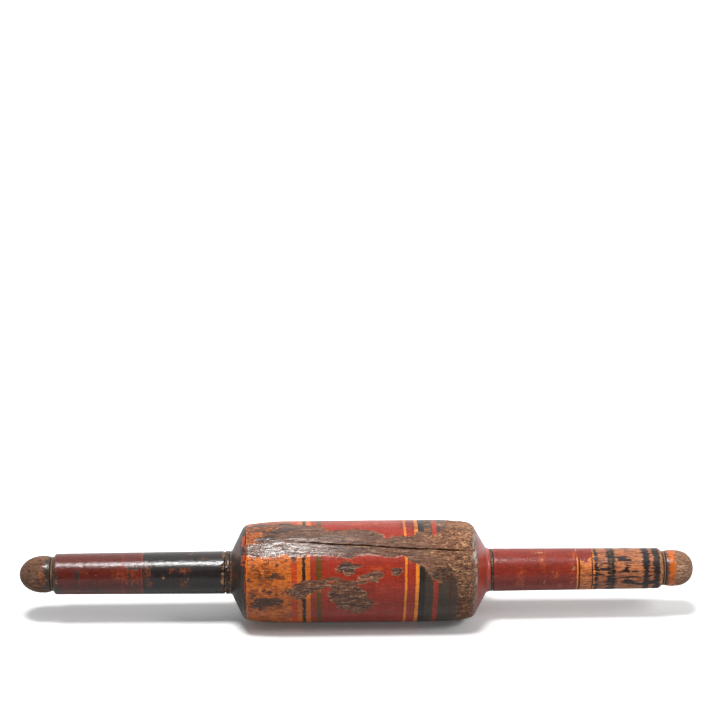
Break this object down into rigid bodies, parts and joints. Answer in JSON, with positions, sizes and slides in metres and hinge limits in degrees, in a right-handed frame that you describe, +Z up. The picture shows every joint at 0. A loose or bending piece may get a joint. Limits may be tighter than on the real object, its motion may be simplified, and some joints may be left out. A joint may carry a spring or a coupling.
{
  "type": "rolling pin",
  "caption": "Turned wooden rolling pin with a banded lac coat: a thick barrel on a through axle, with a turning handle and a domed knob at each end.",
  "frame": {"origin": "middle of the barrel's length, on the facet that the barrel rests on", "axes": "+X along the axle from the handle in red and black lac to the handle with the black rings, +Z up, -Y towards the viewer"},
  "size_m": [0.3803, 0.0568, 0.0567],
  "materials": {
    "barrel_lac": "coloured lac in bands, worn through to bare wood in places",
    "axle_wood": "bare turned hardwood",
    "left_handle_lac": "glossy red and black lac",
    "right_handle_lac": "red lac and bare stained wood with black lac rings",
    "left_knob_wood": "worn brown lac",
    "right_knob_wood": "worn brown lac with an orange and a black band",
    "left_neck_washer_lac": "black lac",
    "right_neck_washer_lac": "black lac",
    "left_end_washer_leather": "worn brown",
    "right_end_washer_leather": "worn brown",
    "left_wedge_wood": "split hardwood",
    "right_wedge_wood": "split hardwood"
  },
  "bodies": {
    "roller": {"barrel": "barrel_lac", "axle": "axle_wood", "left_end_knob": "left_knob_wood", "right_end_knob": "right_knob_wood", "left_neck_washer": "left_neck_washer_lac", "right_neck_washer": "right_neck_washer_lac", "left_end_washer": "left_end_washer_leather", "right_end_washer": "right_end_washer_leather", "left_knob_wedge": "left_wedge_wood", "right_knob_wedge": "right_wedge_wood"},
    "left_handle": {"left_handle": "left_handle_lac"},
    "right_handle": {"right_handle": "right_handle_lac"}
  },
  "joints": [
    {"name": "left_handle_spin", "type": "hinge", "parent": "roller", "child": "left_handle", "pos_m": [-0.124, 0, 0.02836], "axis": [1, 0, 0], "continuous": true},
    {"name": "right_handle_spin", "type": "hinge", "parent": "roller", "child": "right_handle", "pos_m": [0.1227, 0, 0.02836], "axis": [1, 0, 0], "continuous": true}
  ]
}
